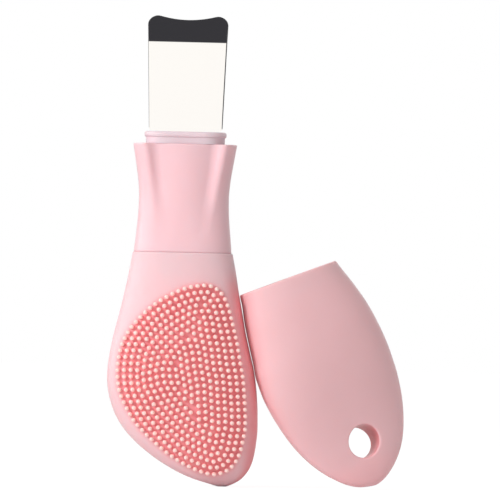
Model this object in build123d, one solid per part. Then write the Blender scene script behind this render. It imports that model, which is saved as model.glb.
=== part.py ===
from build123d import *
import math
import os

# Two-in-one skin scrubber: a vibrating silicone facial brush at the lower end,
# a bent stainless-steel spatula at the upper end, and a travel cap.
# Millimetres. +Z runs up the device from the brush tip to the spatula edge,
# the bristles face -Y (front), the two keys face +Y (back). The origin is on the
# handle's axis, level with the lowest point of the brush head.

os.makedirs("parts", exist_ok=True)

# ------------------------------------------------------- shared dimensions
SEAM_Z = 81.5          # lip of the silicone sleeve on the body
RIM_Z = 119.5          # flared rim of the body, under the collar
SKIN_T = 1.8           # wall of the silicone sleeve
CORE_INSET = SKIN_T + 0.08   # hard core inside the head's outline, with a small gap
CORE_TOP_Z = SEAM_Z + 0.7
CAVITY_INSET = 3.7     # casing's lower hollow inside the head's outline

HEAD_POWER = 2.4       # superellipse exponent of the head's sections
BODY_POWER = 2.35      # same for the handle and the cap
BACK_RATIO = 0.93      # depth of the head's back to that of its front

SPIGOT_W, SPIGOT_D, SPIGOT_Z = 24.0, 11.4, 111.0   # plug under the collar, lower end
COLLAR_TOP = 123.75
BEAD_W, BEAD_D, BEAD_H = 28.8, 16.4, 2.05          # bead around the collar's top
WINDOW_W, WINDOW_D = 18.2, 5.2                     # slot through the collar

BLADE_T = 0.8          # spatula sheet
HALF_T = BLADE_T / 2
TANG_HALF_W = 6.5
TANG_Z0 = 96.5         # lower end of the tang
CLAMP_XS, CLAMP_Z = (-3.6, 3.6), 102.0             # clamp screws through the tang
CLAMP_HOLE_R = 1.15

BATT_X, BATT_Z = -3.0, 28.5    # cell's axis and lower end
BATT_R, BATT_L = 7.0, 38.0
CRADLE_BACK_Y = 7.6
MOTOR_X, MOTOR_Z = 0.5, 18.5   # left (-X) end of the can and its axis, at y = 0
MOTOR_R, MOTOR_L = 4.0, 15.0
BOOT_BACK_Y = 7.2

PCB_Y0, PCB_Y1 = 5.6, 6.6      # front and back faces of the board
PCB_HOLES = [(-5.4, 74.2), (7.5, 108.4)]
KEYS = [("power", 103.5, 4.0), ("mode", 91.5, 3.4)]    # name, z, radius
KEY_Y = 10.45                  # nominal back surface around the keys
FLANGE = 0.75                  # key's flange beyond its radius
LEDS = [(-4.6, 97.6), (0.0, 97.6), (4.6, 97.6)]        # x, z
PINS = [(-4.0, 84.6), (4.0, 84.6)]                     # x, z


# ------------------------------------------------------------------- helpers
def curve(table):
    """Monotone cubic through a table of (position, value), held flat outside it."""
    places, values = zip(*table)
    gaps = [b - a for a, b in zip(places, places[1:])]
    slopes = [(b - a) / gap for a, b, gap in zip(values, values[1:], gaps)]
    tangents = [slopes[0]] + [0.0] * (len(table) - 2) + [slopes[-1]]
    for i in range(1, len(table) - 1):
        if slopes[i - 1] * slopes[i] > 0:
            before = 2 * gaps[i] + gaps[i - 1]
            after = gaps[i] + 2 * gaps[i - 1]
            tangents[i] = (before + after) / (before / slopes[i - 1] + after / slopes[i])

    def value_at(x):
        if x <= places[0]:
            return values[0]
        if x >= places[-1]:
            return values[-1]
        i = 0
        while x > places[i + 1]:
            i += 1
        t = (x - places[i]) / gaps[i]
        return ((2 * t**3 - 3 * t**2 + 1) * values[i]
                + (t**3 - 2 * t**2 + t) * gaps[i] * tangents[i]
                + (-2 * t**3 + 3 * t**2) * values[i + 1]
                + (t**3 - t**2) * gaps[i] * tangents[i + 1])
    return value_at


SECTION_POINTS = 36
SECTION_PARAMS = [i / SECTION_POINTS for i in range(SECTION_POINTS + 1)]


def rounded_section(z, x_min, x_max, front, back, power):
    """Closed superellipse at height z, `front` deep towards -Y and `back` towards +Y."""
    centre, half = (x_min + x_max) / 2, (x_max - x_min) / 2
    points = []
    for i in range(SECTION_POINTS):
        angle = 2 * math.pi * i / SECTION_POINTS
        cos, sin = math.cos(angle), math.sin(angle)
        depth = back if sin > 0 else front
        points.append(Vector(centre + half * math.copysign(abs(cos) ** (2 / power), cos),
                             depth * math.copysign(abs(sin) ** (2 / power), sin), z))
    return Wire([Edge.make_spline(points, periodic=True, parameters=SECTION_PARAMS)])


def cyl_x(r, x0, x1, y, z):
    plane = Plane(origin=(x0, y, z), x_dir=(0, 1, 0), z_dir=(1, 0, 0))
    return Solid.make_cylinder(r, x1 - x0, plane)


def cyl_y(r, y0, y1, x, z):
    plane = Plane(origin=(x, y0, z), x_dir=(1, 0, 0), z_dir=(0, 1, 0))
    return Solid.make_cylinder(r, y1 - y0, plane)


def cyl_z(r, z0, z1, x=0.0, y=0.0):
    return Solid.make_cylinder(r, z1 - z0, Plane(origin=(x, y, z0)))


def box(x0, x1, y0, y1, z0, z1):
    return Solid.make_box(x1 - x0, y1 - y0, z1 - z0, Plane(origin=(x0, y0, z0)))


def stadium(width, depth, z0, z1):
    """Oval prism with fully rounded ends, width along X and depth along Y."""
    return extrude(Plane.XY.offset(z0) * SlotOverall(width, depth), amount=z1 - z0)


def cut_cross(screw, x, z, y0, y1, reach, half_width):
    """Cuts a cross recess between y0 and y1 into a screw lying along Y."""
    screw = screw - box(x - reach, x + reach, y0, y1, z - half_width, z + half_width)
    return screw - box(x - half_width, x + half_width, y0, y1, z - reach, z + reach)


def largest(shape):
    return shape.solids().sort_by(SortBy.VOLUME)[-1]


def write(shape, name):
    shape.label = name
    export_step(shape, "parts/" + name + ".step")


def save(shape, name):
    write(largest(shape), name)


def save_group(solids, name):
    write(Compound(children=list(solids)), name)


# ------------------------------------------------- outline of the brush head
# z, x of the -X edge
head_x_min = curve([
    (0, 14.2), (0.3, 13.0), (0.8, 11.3), (1.5, 8.7), (2.5, 5.4), (4, 1.6), (6, -2.4),
    (8, -5.8), (11, -10.2), (15, -15.0), (20, -19.6), (26, -23.0), (33, -25.0),
    (36.5, -25.4), (40, -25.35), (47, -24.5), (54, -23.1), (61, -21.4), (68, -19.9),
    (75, -18.5), (SEAM_Z, -17.5)])
# z, x of the +X edge, depth of the front
HEAD = [
    (0, 17.2, 1.3), (0.3, 18.0, 2.6), (0.8, 19.2, 4.0), (1.5, 20.6, 5.4), (2.5, 22.1, 6.9),
    (4, 23.6, 8.4), (6, 25.0, 9.9), (8, 25.9, 11.0), (11, 26.7, 12.1), (15, 27.3, 13.0),
    (20, 27.7, 13.6), (26, 27.6, 13.9), (33, 27.1, 14.0), (40, 26.1, 13.9), (47, 24.3, 13.6),
    (54, 22.6, 13.2), (61, 21.3, 12.7), (68, 20.0, 12.2), (75, 18.8, 11.8), (SEAM_Z, 17.5, 11.5)]
HEAD_Z = [z for z, _, _ in HEAD]
head_x_max = curve([(z, x) for z, x, _ in HEAD])
head_front = curve([(z, depth) for z, _, depth in HEAD])


def head_back(z):
    return head_front(z) * BACK_RATIO


def head_section(z, inset, at_z):
    """The head's section for height z, drawn in by inset and placed at at_z."""
    return rounded_section(at_z, head_x_min(z) + inset, head_x_max(z) - inset,
                           head_front(z) - inset, head_back(z) - inset, HEAD_POWER)


def head_envelope(inset, z_end, z_first=0):
    """Head shape drawn in on every side, up to z_end, from station z_first on."""
    return Solid.make_loft([head_section(z, inset, inset + z * (z_end - inset) / SEAM_Z)
                            for z in HEAD_Z if z >= z_first])


def front_y(x, z):
    """Y of the head's front surface."""
    centre = (head_x_min(z) + head_x_max(z)) / 2
    half = (head_x_max(z) - head_x_min(z)) / 2
    across = min(abs((x - centre) / half), 0.999)
    return -head_front(z) * (1 - across ** HEAD_POWER) ** (1 / HEAD_POWER)


def core_back_y(x, z):
    """Y of the hard core's back surface."""
    station = (z - CORE_INSET) * SEAM_Z / (CORE_TOP_Z - CORE_INSET)
    x_min, x_max = head_x_min(station), head_x_max(station)
    across = min(abs((x - (x_min + x_max) / 2) / ((x_max - x_min) / 2 - CORE_INSET)), 0.999)
    return ((head_back(station) - CORE_INSET)
            * (1 - across ** HEAD_POWER) ** (1 / HEAD_POWER))


# ---------------------------------------------------------- silicone sleeve
brush_skin = head_envelope(0, SEAM_Z) - head_envelope(SKIN_T, SEAM_Z + 0.6, z_first=1.5)
save(brush_skin, "brush_skin")

# ------------------------------------------------------------------ bristles
BRISTLE_ROOT_R = 0.85
BRISTLE_TIP_R = 0.73
BRISTLE_H = 2.6        # length above the sleeve
BRISTLE_PITCH = 2.30   # spacing along and across the rows

# x, z through the outermost row, clockwise seen with +X right and +Z up
FIELD = [
    (7.9, 70.2), (10.2, 70.0), (12.5, 68.8), (14.6, 66.6), (16.3, 63.1), (17.5, 59.1),
    (18.8, 54.3), (19.9, 49.8), (21.0, 43.9), (22.0, 39.2), (22.6, 34.1), (23.0, 29.2),
    (23.3, 24.6), (23.3, 20.3), (22.6, 16.2), (21.7, 12.1), (20.1, 8.6), (17.5, 6.0),
    (13.6, 4.5), (9.6, 4.9), (4.8, 6.7), (0.5, 8.9), (-3.6, 11.6), (-7.8, 15.0),
    (-11.8, 18.6), (-15.5, 22.6), (-18.1, 26.8), (-20.3, 31.3), (-21.4, 36.0), (-21.6, 40.9),
    (-21.1, 45.7), (-19.8, 50.2), (-17.4, 54.6), (-14.1, 58.6), (-10.3, 62.3), (-5.9, 65.4),
    (-1.1, 68.0), (3.5, 69.6)]


def closed_curve(points, step=0.25):
    """Dense Catmull-Rom polyline, closed, through the points."""
    line = []
    count = len(points)
    for i in range(count):
        corners = [points[i - 1], points[i], points[(i + 1) % count], points[(i + 2) % count]]
        pieces = max(2, int(math.dist(corners[1], corners[2]) / step))
        for j in range(pieces):
            t = j / pieces
            line.append(tuple(0.5 * ((2 * b) + (c - a) * t + (2 * a - 5 * b + 4 * c - d) * t * t
                                     + (3 * b - a - 3 * c + d) * t ** 3)
                              for a, b, c, d in zip(*corners)))
    return line


def inside(x, z, outline):
    """Even-odd test of a point against a closed polyline."""
    result = False
    for i in range(len(outline)):
        x0, z0 = outline[i - 1]
        x1, z1 = outline[i]
        if (z0 > z) != (z1 > z) and x < (x1 - x0) * (z - z0) / (z1 - z0) + x0:
            result = not result
    return result


def inward_row(outline, distance):
    """Points at a distance inside the clockwise outline, in running order."""
    row = []
    for i in range(len(outline)):
        (xa, za), (xb, zb) = outline[i - 2], outline[(i + 2) % len(outline)]
        dx, dz = xb - xa, zb - za
        length = math.hypot(dx, dz)
        x = outline[i][0] + dz / length * distance
        z = outline[i][1] - dx / length * distance
        if not inside(x, z, outline):
            continue
        # skip points that come too close to another stretch of the outline
        if min(math.hypot(x - qx, z - qz) for qx, qz in outline[::2]) < distance - 0.14:
            continue
        row.append((x, z))
    return row


def relax(points, fixed, rounds):
    """Pushes close neighbours apart; the first `fixed` points stay put."""
    points = [list(p) for p in points]
    reach = BRISTLE_PITCH * 1.02
    for _ in range(rounds):
        moves = []
        for i, p in enumerate(points):
            move_x = move_z = 0.0
            if i >= fixed:
                for j, q in enumerate(points):
                    dx, dz = p[0] - q[0], p[1] - q[1]
                    if i != j and abs(dx) < reach and abs(dz) < reach:
                        gap = math.hypot(dx, dz)
                        if 1e-6 < gap < reach:
                            push = (reach - gap) / gap * 0.35
                            move_x += dx * push
                            move_z += dz * push
            moves.append((move_x, move_z))
        for p, move in zip(points, moves):
            p[0] += move[0]
            p[1] += move[1]
    return [tuple(p) for p in points]


def fill(points, outline, clearance, step=0.3):
    """Adds bristles on a fine grid wherever the rows leave room for one."""
    xs = [p[0] for p in outline]
    zs = [p[1] for p in outline]
    z = min(zs)
    while z < max(zs):
        x = min(xs)
        while x < max(xs):
            if all(abs(x - q[0]) > clearance or abs(z - q[1]) > clearance
                   or math.dist((x, z), q) > clearance for q in points) \
                    and inside(x, z, outline):
                points.append((x, z))
            x += step
        z += step


def bristle_layout():
    """Rows that follow the outline, one pitch apart, spaced one pitch along."""
    outline = closed_curve(FIELD)
    points = []
    fixed = 0
    for row in range(21):
        line = inward_row(outline, row * BRISTLE_PITCH) if row else outline
        if len(line) < 4:
            break
        lengths = [math.dist(line[i], line[(i + 1) % len(line)]) for i in range(len(line))]
        total = sum(lengths)
        count = max(1, round(total / BRISTLE_PITCH))
        passed, i = 0.0, 0
        for j in range(count):
            # odd rows are staggered by half a pitch
            along = total * (j + 0.5 * (row % 2)) / count
            while passed + lengths[i] < along:
                passed += lengths[i]
                i += 1
            t = (along - passed) / lengths[i]
            a, b = line[i], line[(i + 1) % len(line)]
            p = (a[0] + (b[0] - a[0]) * t, a[1] + (b[1] - a[1]) * t)
            if all(math.dist(p, q) > BRISTLE_PITCH * 0.80 for q in points):
                points.append(p)
        if row == 1:
            fixed = len(points)    # the two outer rows keep their places
    fill(points, outline, BRISTLE_PITCH * 0.86)
    points = relax(points, fixed, 50)
    fill(points, outline, BRISTLE_PITCH * 0.90)
    return relax(points, fixed, 40)


def front_slope(x, z, step=0.05):
    """Steepness of the front surface against the bristle direction."""
    return math.hypot((front_y(x + step, z) - front_y(x - step, z)) / (2 * step),
                      (front_y(x, z + step) - front_y(x, z - step)) / (2 * step))


def bristle(x, z):
    """Tapered finger with a domed tip, rooted deeper where the surface is steep."""
    root = min(0.45 + BRISTLE_ROOT_R * front_slope(x, z), 3.6)
    axis_root, rim_root = (0, root, 0), (BRISTLE_ROOT_R, root, 0)
    dome_start = (BRISTLE_TIP_R, -BRISTLE_H + BRISTLE_TIP_R, 0)
    diagonal = math.sqrt(0.5)
    dome_mid = (BRISTLE_TIP_R * diagonal, -BRISTLE_H + BRISTLE_TIP_R * (1 - diagonal), 0)
    tip = (0, -BRISTLE_H, 0)
    profile = Face(Wire([Edge.make_line(axis_root, rim_root),
                         Edge.make_line(rim_root, dome_start),
                         Edge.make_three_point_arc(dome_start, dome_mid, tip),
                         Edge.make_line(tip, axis_root)]))
    finger = Solid.revolve(profile, 360, Axis((0, 0, 0), (0, 1, 0)))
    return finger.moved(Location((x, front_y(x, z), z)))


save_group([bristle(x, z) for x, z in bristle_layout()], "bristles")

# -------------------------------------------------------------- hard casing
# handle above the sleeve: z, half width, half depth
HANDLE = [
    (SEAM_Z, 17.15, 11.2), (86, 16.7, 10.9), (91, 16.2, 10.6), (96, 15.85, 10.45),
    (101, 15.75, 10.5), (106, 16.1, 10.8), (111, 16.8, 11.3), (115, 17.45, 11.8),
    (118, 17.95, 12.2), (RIM_Z, 18.2, 12.5)]
handle_half_w = curve([(z, width) for z, width, _ in HANDLE])
handle_half_d = curve([(z, depth) for z, _, depth in HANDLE])

# thumb scoop in the front of the handle: a crowned floor between two sloping walls
scoop_half_w = curve([(84, 7.0), (90, 7.6), (96, 8.1), (101, 8.5), (106, 9.0), (112, 9.7),
                      (122, 10.7)])
scoop_valley = curve([(84, 11.2), (90, 10.4), (94, 9.4), (98, 8.2), (102, 7.3), (106, 6.8),
                      (112, 6.5), (122, 6.5)])
scoop_crown = curve([(84, 2.0), (92, 2.2), (101, 2.4), (112, 2.5), (122, 2.5)])
SCOOP_Z = [84, 87, 90, 93, 96, 100, 104, 108, 112, 116, 119, 122]
SCOOP_SLOPE = 0.75     # depth over width of the sloping walls
SCOOP_REACH = 22       # the cutter's front face, clear of the handle

# stations of the casing's lower hollow: height, and the z its section is taken from
LOW_CAVITY = [(6.4, 4), (8.2, 6), (10, 8), (13, 11), (17, 15), (21.5, 20), (27, 26),
              (33.5, 33), (40, 40), (47, 47), (54, 54), (61, 61), (68, 68), (77.8, 77.8)]

POSTS = [(-15.0, 66.0), (15.0, 66.0), (-14.5, 25.5), (20.0, 14.5)]    # case screws, x and z
SHANK_R = 0.95
COUNTERBORE_R = 2.15
FRONT_SPACE = box(-40, 40, -40, 0, -5, 130)
BACK_SPACE = box(-40, 40, 0, 40, -5, 130)


def handle_envelope(inset, z0, z1):
    stations = [z0] + [z for z, _, _ in HANDLE if z0 + 1 < z < z1 - 1] + [z1]
    sections = []
    for z in stations:
        half_w, half_d = handle_half_w(z) - inset, handle_half_d(z) - inset
        sections.append(rounded_section(z, -half_w, half_w, half_d, half_d, BODY_POWER))
    return Solid.make_loft(sections)


def scoop_space(widen=0.0, raise_floor=0.0, flatten=0.0):
    """Space in front of the scoop's floor and walls."""
    sections = []
    for z in SCOOP_Z:
        half = scoop_half_w(z) + widen
        valley = scoop_valley(z) - raise_floor
        crown = scoop_crown(z) - flatten
        outer = half + (SCOOP_REACH - valley) / SCOOP_SLOPE
        points = [(-outer, -SCOOP_REACH), (outer, -SCOOP_REACH)]
        for i in range(11):
            u = 1 - 2 * i / 10
            points.append((half * u, -valley - crown * (1 - u * u)))
        sections.append(Wire.make_polygon([Vector(x, y, z) for x, y in points], close=True))
    return Solid.make_loft(sections)


def screw_seat_y(x, z):
    """Counterbore floor that keeps the whole screw head under the core's surface."""
    angles = [k * math.pi / 8 for k in range(16)]
    return min(core_back_y(x + COUNTERBORE_R * math.cos(a), z + COUNTERBORE_R * math.sin(a))
               for a in angles) - 1.75


def case_halves():
    """Front and back shells, split at y = 0."""
    core = head_envelope(CORE_INSET, CORE_TOP_Z, z_first=2.5)
    handle = handle_envelope(0, SEAM_Z + 0.05, RIM_Z)
    scoop = scoop_space()
    cavity_low = Solid.make_loft([head_section(z, CAVITY_INSET, at_z)
                                  for at_z, z in LOW_CAVITY])
    cavity_high = handle_envelope(2.1, 77.0, RIM_Z - 2.7)
    # leave a wall behind the scoop
    cavity_high = cavity_high - scoop_space(widen=0.4, raise_floor=1.7, flatten=0.1)
    cavity = largest(cavity_low + cavity_high)

    full = core + (handle - scoop)
    casing = full - cavity
    casing = casing - stadium(SPIGOT_W + 0.1, SPIGOT_D + 0.1, SPIGOT_Z - 0.5, 122)
    front = largest(casing) - BACK_SPACE
    back = largest(casing) - FRONT_SPACE

    # screw posts hidden under the sleeve, drilled from the back
    for x, z in POSTS:
        post = cyl_y(2.6, -20, 20, x, z) & core
        front = front + (post & FRONT_SPACE)
        back = back + (post & BACK_SPACE)
    for x, z in POSTS:
        front = front - cyl_y(SHANK_R, -6.5, 1, x, z)
        back = (back - cyl_y(1.25, -1, 20, x, z)
                - cyl_y(COUNTERBORE_R, screw_seat_y(x, z), 20, x, z))

    # board stand-offs, a battery pad and a motor pad inside the back shell
    seats = [cyl_y(1.7, PCB_Y1, 12, x, z) for x, z in PCB_HOLES]
    seats += [box(BATT_X - 3, BATT_X + 3, CRADLE_BACK_Y, 12, 34, 52),
              box(5, 11, BOOT_BACK_Y, 12, 16, 21)]
    for seat in seats:
        back = back + (seat & full)

    # stepped key holes, then holes for the light pipes and the charging pins
    for _, z, r in KEYS:
        back = (back - cyl_y(r + 0.15, 5, 20, 0, z)
                - cyl_y(r + FLANGE + 0.2, 5, KEY_Y - 1.85, 0, z))
    for x, z in LEDS:
        back = back - cyl_y(0.85, 5, 20, x, z)
    for x, z in PINS:
        back = back - cyl_y(1.3, 5, 20, x, z)
    return front, back


def case_screw(x, z):
    """Cross-recessed screw, head in the back counterbore, shank in the front post."""
    seat = screw_seat_y(x, z)
    screw = (cyl_y(SHANK_R, -6.2, seat + 0.1, x, z)
             + cyl_y(2.0, seat + 0.02, seat + 1.5, x, z))
    return largest(cut_cross(screw, x, z, seat + 0.95, seat + 3, reach=1.3, half_width=0.28))


front_case, back_case = case_halves()
save(front_case, "front_case")
save(back_case, "back_case")
save_group([case_screw(x, z) for x, z in POSTS], "case_screws")


# -------------------------------------------------------------------- collar
def collar():
    """Neck and bead above the rim, spigot with a seal groove below it."""
    bead_z = COLLAR_TOP - BEAD_H
    neck = stadium(27.7, 15.4, RIM_Z + 0.01, bead_z)
    bead = stadium(BEAD_W, BEAD_D, bead_z, COLLAR_TOP)
    rims = bead.edges().filter_by_position(Axis.Z, bead_z - 0.01, COLLAR_TOP + 0.01)
    bead = fillet(rims, 0.8)
    spigot = stadium(SPIGOT_W, SPIGOT_D, SPIGOT_Z, RIM_Z + 0.01)
    groove = (stadium(SPIGOT_W + 4, SPIGOT_D + 4, RIM_Z - 2.4, RIM_Z - 0.9)
              - stadium(SPIGOT_W - 2.0, SPIGOT_D - 2.0, RIM_Z - 2.4, RIM_Z - 0.9))
    body = neck + bead + spigot - groove
    return body - stadium(WINDOW_W, WINDOW_D, SPIGOT_Z - 1, COLLAR_TOP + 1)


def collar_seal():
    """Flat-sided ring in the spigot's groove."""
    z0, z1 = RIM_Z - 2.25, RIM_Z - 1.05
    return (stadium(SPIGOT_W, SPIGOT_D, z0, z1)
            - stadium(SPIGOT_W - 1.96, SPIGOT_D - 1.96, z0, z1))


save(collar(), "collar")
save(collar_seal(), "collar_seal")

# ------------------------------------------------------------- spatula blade
BLADE_Z0 = 124.0       # lower edge of the wide part
BLADE_BEND_Z = 154.9   # where the tip is folded towards the back
BLADE_TOP_Z = 164.7    # nominal top of the folded tip
BEND_DEG = 32.0
BLADE_LOW_X, BLADE_TOP_X = 12.8, 14.0      # half widths at the bottom and the top
CORNER_Z = BLADE_TOP_Z + 0.5               # outline corners before rounding


def bent_sheet():
    """The folded sheet seen from the side, wider than the blade."""
    cos, sin = math.cos(math.radians(BEND_DEG)), math.sin(math.radians(BEND_DEG))
    mitre = math.tan(math.radians(BEND_DEG / 2)) * HALF_T
    tip_len = (BLADE_TOP_Z - BLADE_BEND_Z) / cos
    tip_y, tip_z = tip_len * sin, BLADE_BEND_Z + tip_len * cos
    side = Wire.make_polygon([Vector(0, y, z) for y, z in [
        (-HALF_T, TANG_Z0), (HALF_T, TANG_Z0), (HALF_T, BLADE_BEND_Z - mitre),
        (tip_y + HALF_T * cos, tip_z - HALF_T * sin),
        (tip_y - HALF_T * cos, tip_z + HALF_T * sin),
        (-HALF_T, BLADE_BEND_Z + mitre)]], close=True)
    sheet = Solid.extrude(Face(side), Vector(40, 0, 0)).moved(Location((-20, 0, 0)))
    bends = [e for e in sheet.edges() if abs(e.center().Z - BLADE_BEND_Z) < 1.0
             and abs(e.center().Y) < 1.0 and e.length > 30]
    return sheet.fillet(1.6, bends)


def blade_outline():
    """Punch with the blade's front outline: tang, tapering sides, hollow top edge."""
    tang_x, low_x, top_x = TANG_HALF_W, BLADE_LOW_X, BLADE_TOP_X
    right = [(tang_x, 0, 95), (tang_x, 0, BLADE_Z0), (low_x, 0, BLADE_Z0), (top_x, 0, CORNER_Z)]
    left = [(-x, y, z) for x, y, z in reversed(right)]
    edges = [Edge.make_line(left[-1], right[0])]
    edges += [Edge.make_line(a, b) for a, b in zip(right, right[1:])]
    edges += [Edge.make_three_point_arc(right[-1], (0, 0, BLADE_TOP_Z - 1.75), left[0])]
    edges += [Edge.make_line(a, b) for a, b in zip(left, left[1:])]
    punch = Solid.extrude(Face(Wire(edges)), Vector(0, 40, 0)).moved(Location((0, -20, 0)))
    top_corners = [e for e in punch.edges() if abs(e.center().Z - CORNER_Z) < 0.2
                   and e.length > 30 and abs(abs(e.center().X) - top_x) < 0.1]
    punch = punch.fillet(3.6, top_corners)
    low_corners = [e for e in punch.edges() if abs(e.center().Z - BLADE_Z0) < 0.05
                   and e.length > 30 and abs(abs(e.center().X) - low_x) < 0.1]
    return punch.fillet(1.1, low_corners)


def blade():
    sheet = bent_sheet() & blade_outline()
    for x in CLAMP_XS:
        sheet = sheet - cyl_y(CLAMP_HOLE_R, -5, 5, x, CLAMP_Z)
    return sheet


def blade_grommet():
    """Silicone sleeve between the tang and the collar."""
    return (stadium(WINDOW_W, WINDOW_D, SPIGOT_Z + 0.5, COLLAR_TOP - 0.3)
            - box(-TANG_HALF_W, TANG_HALF_W, -HALF_T, HALF_T, 100, 130))


save(blade(), "blade")
save(blade_grommet(), "blade_grommet")

# ---------------------------------------------------- ultrasonic transducer
TAIL_Z0 = 82.0         # lower end of the stack
STACK_R = 5.5


def horn_block():
    """Block behind the tang, on a foot that takes the stack bolt."""
    horn = (box(-8, 8, HALF_T, 4.2, TANG_Z0, SPIGOT_Z - 0.02)
            + box(-8, 8, -4.2, 4.2, 93.5, TANG_Z0))
    for x in CLAMP_XS:
        horn = horn - cyl_y(0.9, 0, 3.4, x, CLAMP_Z)
    return horn - cyl_z(1.3, 90, 96.0)


def blade_clamp():
    """Plate in front of the tang."""
    clamp = box(-7.4, 7.4, -2.4, -HALF_T, 97.5, 107.5)
    for x in CLAMP_XS:
        clamp = clamp - cyl_y(CLAMP_HOLE_R, -5, 0, x, CLAMP_Z)
    return fillet(clamp.edges().filter_by(Axis.Y), 1.0)


def clamp_screw(x):
    screw = cyl_y(0.9, -2.45, 3.2, x, CLAMP_Z) + cyl_y(1.9, -3.7, -2.41, x, CLAMP_Z)
    return largest(cut_cross(screw, x, CLAMP_Z, -5, -3.2, reach=1.2, half_width=0.25))


def piezo_ring(z):
    return largest(cyl_z(STACK_R, z, z + 2.0) - cyl_z(2.0, z - 1, z + 3))


def tail_mass():
    """Counter mass with a recess for the bolt head."""
    tail = cyl_z(STACK_R, TAIL_Z0, 89.35) - cyl_z(1.45, 80, 90) - cyl_z(2.9, 80, 84.2)
    return chamfer(tail.edges().filter_by(GeomType.CIRCLE).sort_by(Axis.Z)[0:1], 0.4)


def stack_bolt():
    """Bolt along Z with a hexagon socket in its lower end."""
    bolt = cyl_z(1.3, 84.1, 95.8) + cyl_z(2.6, 82.2, 84.18)
    return bolt - extrude(Plane.XY.offset(TAIL_Z0) * RegularPolygon(1.4, 6), amount=1.4)


save(horn_block(), "horn_block")
save(blade_clamp(), "blade_clamp")
save_group([clamp_screw(x) for x in CLAMP_XS], "clamp_screws")
save_group([piezo_ring(z) for z in (91.45, 89.4)], "piezo_rings")
save(tail_mass(), "tail_mass")
save(stack_bolt(), "stack_bolt")

# --------------------------------------------------------------- electronics
# components on the board's front face: x0, x1, front y, z0, z1
CHIPS = [(-3.5, 3.5, 4.3, 74.5, 79.5), (4.4, 6.8, 4.6, 75.5, 78.5),
         (-8.4, -5.2, 3.0, 84, 90), (5.6, 8.6, 3.6, 84.2, 88)]
KEY_FACE_Y = KEY_Y + 0.35
KEY_INNER_Y = KEY_Y - 2.55
MARK_Y = KEY_FACE_Y - 0.18     # floor of the marks in the keys


def main_pcb():
    board = (box(-9.5, 9.5, PCB_Y0, PCB_Y1, 83, 110.4)
             + box(-7.2, 7.2, PCB_Y0, PCB_Y1, 72, 84))
    board = fillet(board.edges().filter_by(Axis.Y), 1.0)
    for x, z in PCB_HOLES:
        board = board - cyl_y(0.9, 0, 10, x, z)
    return board


def button(name, z, r):
    """Round key with an inner flange, a plunger and a recessed mark."""
    key = largest(cyl_y(r, KEY_INNER_Y, KEY_FACE_Y, 0, z)
                  + cyl_y(r + FLANGE, KEY_INNER_Y, KEY_Y - 1.95, 0, z)
                  + cyl_y(1.0, KEY_INNER_Y - 0.45, KEY_INNER_Y + 0.1, 0, z))
    face_rim = [e for e in key.edges() if abs(e.center().Y - KEY_FACE_Y) < 0.01]
    key = key.fillet(0.3, face_rim)
    if name == "power":
        # ring open at the top, with a bar in the opening
        ring = (cyl_y(1.9, MARK_Y, KEY_FACE_Y + 1, 0, z)
                - cyl_y(1.45, KEY_FACE_Y - 1, KEY_FACE_Y + 2, 0, z)
                - box(-0.62, 0.62, 0, 20, z, z + 4))
        return key - ring - box(-0.22, 0.22, MARK_Y, KEY_FACE_Y + 1, z + 0.3, z + 2.2)
    for k in (-1, 0, 1):
        key = key - cyl_y(0.38, MARK_Y, KEY_FACE_Y + 1, k * 1.35, z)
    return key


def light_pipe(x, z):
    """The outer pipes end lower, where the back surface curves away."""
    end_y = KEY_Y - 0.05 if x == 0 else KEY_Y - 0.35
    return cyl_y(0.83, PCB_Y1 + 0.7, end_y, x, z)


save(main_pcb(), "main_pcb")
save_group([box(x0, x1, y0, PCB_Y0, z0, z1) for x0, x1, y0, z0, z1 in CHIPS],
           "pcb_components")
for name, z, r in KEYS:
    save(box(-2.4, 2.4, PCB_Y1, PCB_Y1 + 0.35, z - 2.4, z + 2.4), name + "_switch")
    save(button(name, z, r), name + "_button")
save_group([box(x - 0.8, x + 0.8, PCB_Y1, PCB_Y1 + 0.6, z - 0.8, z + 0.8) for x, z in LEDS],
           "indicator_leds")
save_group([light_pipe(x, z) for x, z in LEDS], "light_pipes")
save_group([cyl_y(1.27, PCB_Y1 + 0.02, KEY_Y + 0.18, x, z) for x, z in PINS], "charge_pins")


# ------------------------------------------------------------------- battery
def battery():
    top = BATT_Z + BATT_L
    return cyl_z(BATT_R, BATT_Z, top, BATT_X) + cyl_z(2.2, top - 0.1, top + 0.9, BATT_X)


def battery_cradle():
    """Back plate with two cross ribs hollowed for the cell."""
    cradle = box(BATT_X - 5.5, BATT_X + 5.5, CRADLE_BACK_Y - 1, CRADLE_BACK_Y, 31.0, 56.0)
    for z in (33.0, 50.0):
        cradle = cradle + box(BATT_X - 8.2, BATT_X + 8.2, 0.2, 7.25, z, z + 3)
    return cradle - cyl_z(BATT_R + 0.05, 20, 80, BATT_X)


save(battery(), "battery")
save(battery_cradle(), "battery_cradle")

# ---------------------------------------------------------- vibration motor
SHAFT_R = 0.75


def motor_cyl(r, start, end):
    """Cylinder on the motor's axis, start and end measured from the can's -X end."""
    return cyl_x(r, MOTOR_X + start, MOTOR_X + end, 0, MOTOR_Z)


def motor_can():
    can = motor_cyl(MOTOR_R, 0, MOTOR_L) - motor_cyl(MOTOR_R - 0.5, 1.2, MOTOR_L - 1.0)
    return (can - motor_cyl(SHAFT_R + 0.04, -1, 2)
            - motor_cyl(SHAFT_R + 0.04, MOTOR_L - 1.5, MOTOR_L - 0.4))


def motor_armature():
    """Rotor with three slots along it."""
    armature = motor_cyl(3.0, 2.2, MOTOR_L - 2.0) - motor_cyl(SHAFT_R, -1, 20)
    slot = box(MOTOR_X + 1, MOTOR_X + 16, 1.9, 4, MOTOR_Z - 0.4, MOTOR_Z + 0.4)
    axis = Axis((MOTOR_X, 0, MOTOR_Z), (1, 0, 0))
    for k in range(3):
        armature = armature - slot.rotate(axis, 90 + 120 * k)
    return armature


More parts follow.
